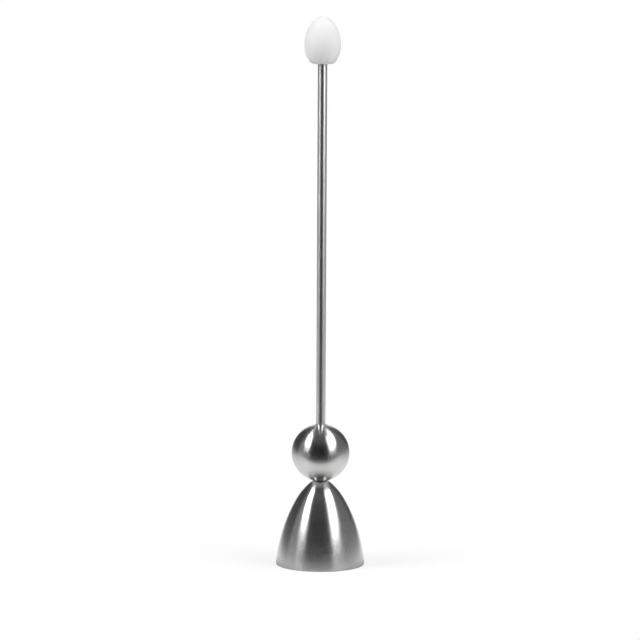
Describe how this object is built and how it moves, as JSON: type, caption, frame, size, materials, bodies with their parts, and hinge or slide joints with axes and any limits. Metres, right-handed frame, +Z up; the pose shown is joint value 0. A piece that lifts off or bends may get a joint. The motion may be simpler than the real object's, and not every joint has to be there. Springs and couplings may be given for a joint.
{
  "type": "egg topper",
  "caption": "Drop-ball egg topper: a turned steel bell with a rod up from its crown, a steel ball sliding on the rod and an egg-shaped knob on top.",
  "frame": {"origin": "centre of the bell's rim, on the plane that the rim stands on", "axes": "+Z up along the rod's axis, towards the knob; the object is turned about Z, so X and Y are free"},
  "size_m": [0.043, 0.043, 0.2651],
  "materials": {
    "brushed_steel": "turned stainless steel, brushed round the axis",
    "drawn_steel": "bright drawn stainless steel, ground smooth",
    "white_plastic": "moulded, satin gloss",
    "brass": "turned and knurled",
    "zinc_plate": "zinc-plated"
  },
  "bodies": {
    "bell_and_rod": {"bell": "brushed_steel", "rod": "drawn_steel", "egg_knob": "white_plastic", "knob_insert": "brass", "lock_washer": "zinc_plate", "crown_nut": "zinc_plate"},
    "drop_ball": {"ball": "brushed_steel"}
  },
  "joints": [
    {"name": "ball_slide", "type": "slide", "parent": "bell_and_rod", "child": "drop_ball", "axis": [0, 0, 1], "range_m": [0, 0.1741]}
  ]
}
